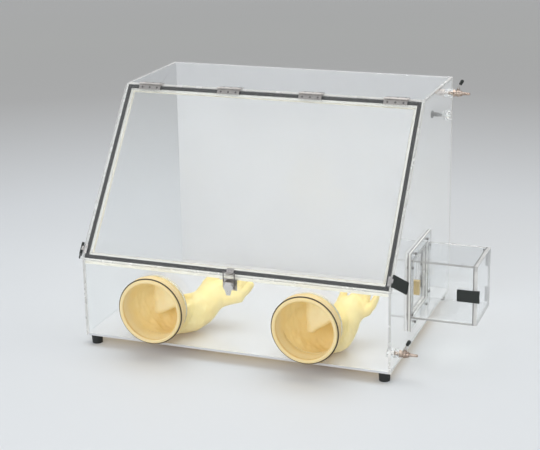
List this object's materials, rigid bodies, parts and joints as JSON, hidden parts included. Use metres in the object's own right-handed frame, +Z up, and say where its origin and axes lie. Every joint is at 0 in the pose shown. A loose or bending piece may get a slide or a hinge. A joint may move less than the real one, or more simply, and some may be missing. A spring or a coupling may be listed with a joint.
{
  "type": "laboratory glove box",
  "caption": "Clear acrylic benchtop glove box with a sloped hinged door, latex gloves on round ports, a side pass box and hose valves.",
  "frame": {"origin": "centre of the whole object's footprint box, on the surface that its feet stand on", "axes": "+X to the side with the pass box, +Y to the back, +Z up"},
  "size_m": [1.0008, 0.642, 0.6259],
  "materials": {
    "clear_acrylic": "clear cast acrylic with polished edges",
    "opal_acrylic": "white opal acrylic with a polished face",
    "rail_acrylic": "clear acrylic, saw-cut edges",
    "foam_gasket": "matt black foam rubber",
    "black_rubber": "matt moulded rubber",
    "black_plastic": "satin moulded plastic",
    "latex": "translucent natural latex",
    "tan_plastic": "satin amber plastic",
    "brass": "turned brass",
    "stainless": "brushed stainless steel"
  },
  "bodies": {
    "chamber": {"base_panel": "opal_acrylic", "back_panel": "opal_acrylic", "left_side_panel": "clear_acrylic", "right_side_panel": "clear_acrylic", "top_panel": "clear_acrylic", "front_panel": "clear_acrylic", "door_frame_rails": "rail_acrylic", "door_gasket": "foam_gasket", "roof_hinge_leaves": "stainless", "door_hinge_pins": "stainless", "roof_hinge_screws": "stainless", "toggle_base": "stainless", "toggle_pin": "stainless", "toggle_screws": "stainless", "clip_catches": "stainless", "port_rings": "clear_acrylic", "port_o_rings": "black_rubber", "left_glove": "latex", "right_glove": "latex", "rubber_feet": "black_rubber", "foot_screws": "stainless", "pass_flange": "clear_acrylic", "pass_flange_bolts": "stainless", "pass_flange_nuts": "stainless", "pass_tunnel": "clear_acrylic", "pass_gaskets": "foam_gasket", "pass_frame_hinge_leaves": "black_plastic", "pass_wall_hinge_leaves": "stainless", "pass_hinge_blocks": "clear_acrylic", "pass_hinge_pins": "stainless", "wall_bosses": "clear_acrylic", "valve_bodies": "brass", "vent_tube": "clear_acrylic"},
    "door": {"door_panel": "clear_acrylic", "door_hinge_leaves": "stainless", "door_hinge_screws": "stainless", "toggle_strike": "stainless", "strike_screws": "stainless", "door_clip_brackets": "stainless", "door_clip_pins": "stainless"},
    "toggle_lever": {"toggle_lever": "stainless"},
    "toggle_loop": {"toggle_loop": "stainless"},
    "left_clip": {"left_clip": "black_plastic"},
    "right_clip": {"right_clip": "black_plastic"},
    "pass_outer_door": {"pass_outer_door": "clear_acrylic", "pass_outer_hinge_leaves": "black_plastic", "pass_clip_bracket": "stainless", "pass_clip_pin": "stainless", "pass_clip_screws": "stainless"},
    "pass_clip": {"pass_clip": "black_plastic"},
    "pass_inner_door": {"pass_inner_door": "clear_acrylic", "pass_inner_hinge_leaves": "stainless", "pass_inner_handle": "tan_plastic"},
    "upper_valve_lever": {"upper_valve_ball": "stainless", "upper_valve_lever": "stainless", "upper_valve_grip": "black_plastic"},
    "lower_valve_lever": {"lower_valve_ball": "stainless", "lower_valve_lever": "stainless", "lower_valve_grip": "black_plastic"},
    "vent_stopper": {"vent_stopper": "black_rubber"}
  },
  "joints": [
    {"name": "door_hinge", "type": "hinge", "parent": "chamber", "child": "door", "pos_m": [-0.07089, 0.00803, 0.623], "axis": [-1, 0, 0], "range_deg": [0, 225]},
    {"name": "toggle_lever_pivot", "type": "hinge", "parent": "chamber", "child": "toggle_lever", "pos_m": [-0.07089, -0.29105, 0.211], "axis": [-1, 0, 0], "range_deg": [0, 120]},
    {"name": "toggle_loop_pivot", "type": "hinge", "parent": "toggle_lever", "child": "toggle_loop", "pos_m": [-0.07089, -0.28985, 0.2015], "axis": [-1, 0, 0], "range_deg": [-90, 0]},
    {"name": "left_clip_pivot", "type": "hinge", "parent": "door", "child": "left_clip", "pos_m": [-0.47339, -0.28114, 0.24291], "axis": [0, 0.6048, 0.7964], "range_deg": [-26, 70]},
    {"name": "right_clip_pivot", "type": "hinge", "parent": "door", "child": "right_clip", "pos_m": [0.33161, -0.28114, 0.24291], "axis": [0, -0.6048, -0.7964], "range_deg": [-26, 70]},
    {"name": "pass_outer_door_hinge", "type": "hinge", "parent": "chamber", "child": "pass_outer_door", "pos_m": [0.48561, 0.05195, 0.175], "axis": [0, 0, 1], "range_deg": [0, 170]},
    {"name": "pass_clip_pivot", "type": "hinge", "parent": "pass_outer_door", "child": "pass_clip", "pos_m": [0.49761, -0.10505, 0.175], "axis": [0, 0, 1], "range_deg": [0, 95]},
    {"name": "pass_inner_door_hinge", "type": "hinge", "parent": "chamber", "child": "pass_inner_door", "pos_m": [0.31351, 0.05395, 0.175], "axis": [0, 0, -1], "range_deg": [0, 100]},
    {"name": "upper_valve_turn", "type": "hinge", "parent": "chamber", "child": "upper_valve_lever", "pos_m": [0.35311, 0.28095, 0.585], "axis": [0, 0, -1], "range_deg": [0, 90]},
    {"name": "lower_valve_turn", "type": "hinge", "parent": "chamber", "child": "lower_valve_lever", "pos_m": [0.35311, -0.23905, 0.063], "axis": [0, 0, -1], "range_deg": [0, 90]},
    {"name": "vent_stopper_pull", "type": "slide", "parent": "chamber", "child": "vent_stopper", "axis": [-1, 0, 0], "range_m": [0, 0.03]}
  ],
  "couplings": [
    {"joint": "toggle_loop_pivot", "follows": "toggle_lever_pivot", "ratio": -0.744}
  ]
}
